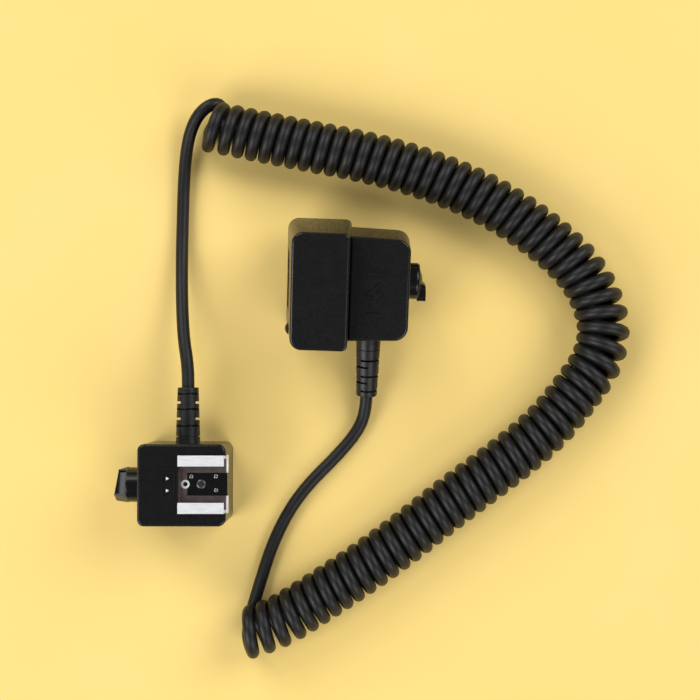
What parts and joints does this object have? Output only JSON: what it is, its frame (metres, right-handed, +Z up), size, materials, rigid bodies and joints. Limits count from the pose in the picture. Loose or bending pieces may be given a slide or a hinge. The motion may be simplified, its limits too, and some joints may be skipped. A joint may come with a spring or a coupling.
{
  "type": "off-camera flash cord",
  "caption": "Coiled off-camera flash cord: a head with an accessory shoe and tripod socket, and a head with a shoe foot and a focus-assist lamp.",
  "frame": {"origin": "mouth of the tripod socket in the base of the flash-side head, on the surface that everything lies on", "axes": "+Z up out of the surface, +X along the accessory shoe towards its open end, +Y towards the flash-side head's cord"},
  "size_m": [0.194, 0.2133, 0.0443],
  "materials": {
    "black_plastic": "satin moulded",
    "cover_plastic": "fine matte",
    "cord_rubber": "soft matte",
    "rail_steel": "satin nickel",
    "spring_steel": "dark satin",
    "contact_plastic": "satin",
    "contact_metal": "polished, slightly worn",
    "spring_wire": "bright",
    "brass": "turned",
    "screw_steel": "black zinc",
    "foot_steel": "satin",
    "knob_plastic": "semi-gloss",
    "board": "solder mask",
    "wire_insulation": "smooth",
    "white_ink": "flat",
    "red_window": "dark red, polished",
    "clear_lens": "polished",
    "pilot_glass": "polished"
  },
  "bodies": {
    "root": {"assist_lamp_board": "board", "assist_lamp_emitter": "red_window", "assist_lamp_lens": "clear_lens", "assist_lamp_window": "red_window", "camera_boot": "cord_rubber", "camera_circuit_board": "board", "camera_cord_grip": "cover_plastic", "camera_cord_tail": "cord_rubber", "camera_lock_bush": "brass", "camera_lock_spring": "spring_wire", "camera_wires": "wire_insulation", "contact_block": "contact_plastic", "contact_springs": "spring_wire", "cord_coil": "cord_rubber", "cord_lead_camera": "cord_rubber", "cord_lead_flash": "cord_rubber", "flash_base_cover": "cover_plastic", "flash_boot": "cord_rubber", "flash_circuit_board": "board", "flash_cord_grip": "cover_plastic", "flash_cord_tail": "cord_rubber", "flash_cover_screws": "screw_steel", "flash_housing": "black_plastic", "flash_lock_bush": "brass", "flash_wires": "wire_insulation", "foot_neck": "cover_plastic", "foot_pin_retainer": "cover_plastic", "foot_pin_springs": "spring_wire", "foot_screws": "screw_steel", "front_bottom_cover": "cover_plastic", "front_cover_screws": "screw_steel", "front_shell": "black_plastic", "index_marks": "white_ink", "lamp_wires": "wire_insulation", "lock_hole_ring": "rail_steel", "pilot_lens": "pilot_glass", "rear_bottom_cover": "cover_plastic", "rear_cover_screws": "screw_steel", "rear_shell": "black_plastic", "shoe_channel": "rail_steel", "shoe_foot": "foot_steel", "shoe_spring": "spring_steel", "top_relief": "black_plastic", "tripod_socket": "brass"},
    "flash_knob": {"flash_lock_knob": "knob_plastic"},
    "flash_bolt": {"flash_lock_bolt": "spring_wire"},
    "shoe_center": {"shoe_center_contact": "contact_metal"},
    "shoe_pin_1": {"shoe_contact_1": "contact_metal"},
    "shoe_pin_2": {"shoe_contact_2": "contact_metal"},
    "shoe_pin_3": {"shoe_contact_3": "contact_metal"},
    "camera_lever": {"camera_lock_lever": "knob_plastic"},
    "camera_pin": {"camera_lock_pin": "spring_wire"},
    "foot_center": {"foot_center_pin": "contact_metal"},
    "foot_1": {"foot_pin_1": "contact_metal"},
    "foot_2": {"foot_pin_2": "contact_metal"},
    "foot_3": {"foot_pin_3": "contact_metal"}
  },
  "joints": [
    {"name": "flash_lock_turn", "type": "hinge", "parent": "root", "child": "flash_knob", "pos_m": [-0.019, -0.0006, 0.0155], "axis": [-1, 0, 0], "range_deg": [0, 90]},
    {"name": "flash_bolt_lift", "type": "slide", "parent": "root", "child": "flash_bolt", "axis": [0, 0, 1], "range_m": [0, 0.0014]},
    {"name": "shoe_center_press", "type": "slide", "parent": "root", "child": "shoe_center", "axis": [0, 0, -1], "range_m": [0, 0.0005], "stiffness_N_per_m": 600, "springref_m": -0.0005, "deforming": ["contact_springs"]},
    {"name": "shoe_contact_1_press", "type": "slide", "parent": "root", "child": "shoe_pin_1", "axis": [0, 0, -1], "range_m": [0, 0.0004], "stiffness_N_per_m": 400, "springref_m": -0.0005, "deforming": ["contact_springs"]},
    {"name": "shoe_contact_2_press", "type": "slide", "parent": "root", "child": "shoe_pin_2", "axis": [0, 0, -1], "range_m": [0, 0.0004], "stiffness_N_per_m": 400, "springref_m": -0.0005, "deforming": ["contact_springs"]},
    {"name": "shoe_contact_3_press", "type": "slide", "parent": "root", "child": "shoe_pin_3", "axis": [0, 0, -1], "range_m": [0, 0.0004], "stiffness_N_per_m": 400, "springref_m": -0.0005, "deforming": ["contact_springs"]},
    {"name": "camera_lock_turn", "type": "hinge", "parent": "root", "child": "camera_lever", "pos_m": [0.08361, 0.07579, 0.01782], "axis": [-0.9994, 0.0349, 0], "range_deg": [0, 90]},
    {"name": "camera_pin_drop", "type": "slide", "parent": "root", "child": "camera_pin", "axis": [0.0093, 0.2671, -0.9636], "range_m": [0, 0.0016], "deforming": ["camera_lock_spring"]},
    {"name": "foot_center_press", "type": "slide", "parent": "root", "child": "foot_center", "axis": [-0.0093, -0.2671, 0.9636], "range_m": [0, 0.0008], "stiffness_N_per_m": 400, "springref_m": -0.0005, "deforming": ["foot_pin_springs"]},
    {"name": "foot_1_press", "type": "slide", "parent": "root", "child": "foot_1", "axis": [-0.0093, -0.2671, 0.9636], "range_m": [0, 0.0008], "stiffness_N_per_m": 400, "springref_m": -0.0005, "deforming": ["foot_pin_springs"]},
    {"name": "foot_2_press", "type": "slide", "parent": "root", "child": "foot_2", "axis": [-0.0093, -0.2671, 0.9636], "range_m": [0, 0.0008], "stiffness_N_per_m": 400, "springref_m": -0.0005, "deforming": ["foot_pin_springs"]},
    {"name": "foot_3_press", "type": "slide", "parent": "root", "child": "foot_3", "axis": [-0.0093, -0.2671, 0.9636], "range_m": [0, 0.0008], "stiffness_N_per_m": 400, "springref_m": -0.0005, "deforming": ["foot_pin_springs"]}
  ],
  "couplings": [
    {"joint": "flash_bolt_lift", "follows": "flash_lock_turn", "m_per_rad": 0.00089127},
    {"joint": "camera_pin_drop", "follows": "camera_lock_turn", "m_per_rad": 0.0010186}
  ]
}
